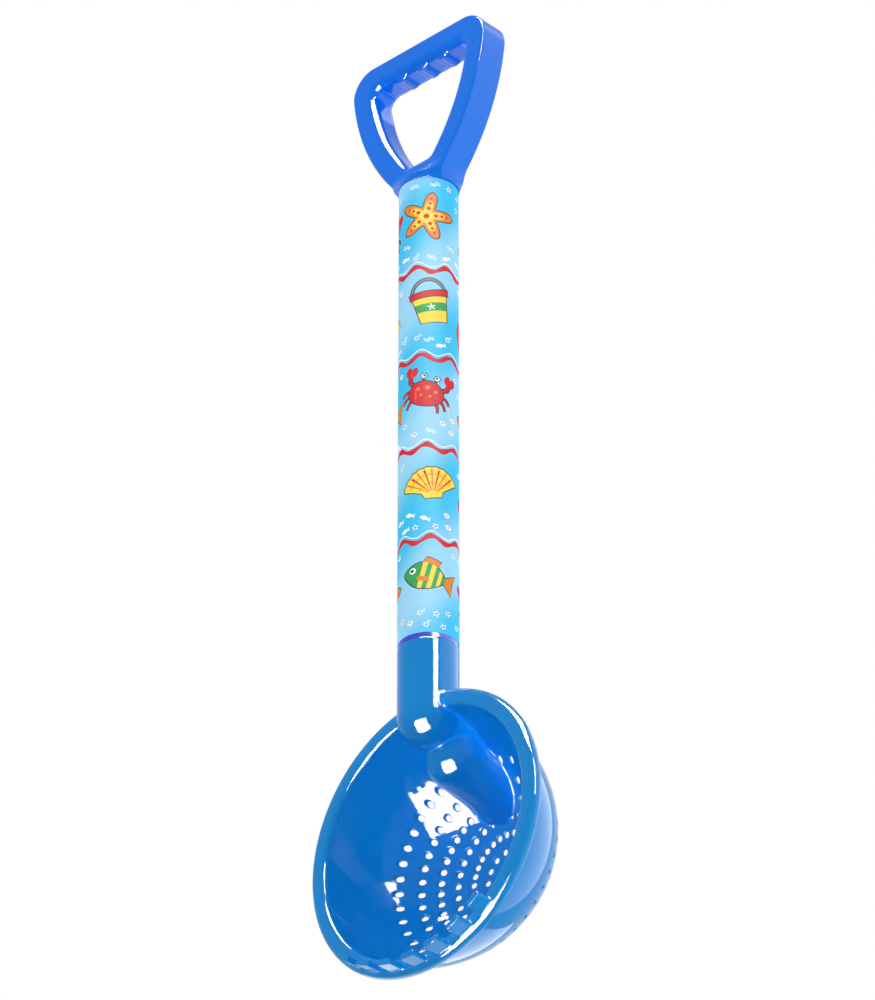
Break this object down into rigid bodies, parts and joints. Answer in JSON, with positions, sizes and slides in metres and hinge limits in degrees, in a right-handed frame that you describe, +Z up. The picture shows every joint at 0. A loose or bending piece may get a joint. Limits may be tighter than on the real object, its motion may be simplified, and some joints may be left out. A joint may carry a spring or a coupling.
{
  "type": "toy sand sieve",
  "caption": "Long-handled toy sand sieve: a half-round perforated bowl with a flat rim and raking teeth, on a straight printed tube with a D-shaped hand grip.",
  "frame": {"origin": "on the tube's axis, level with the lowest point of the scooping rim, which is where the upright tool first meets the sand", "axes": "+Z up along the tube from the bowl to the hand grip, +X to the right, +Y to the back; the bowl's mouth and the teeth face -Y"},
  "size_m": [0.155, 0.0792, 0.564],
  "materials": {
    "grip_plastic": "gloss moulded polypropylene, royal blue",
    "tube_plastic": "gloss extruded plastic tube, deep blue",
    "printed_film": null,
    "sieve_plastic": "gloss moulded polypropylene, azure blue"
  },
  "bodies": {
    "root": {"grip": "grip_plastic", "tube": "tube_plastic", "film_sleeve": "printed_film", "sieve_head": "sieve_plastic"}
  },
  "joints": []
}
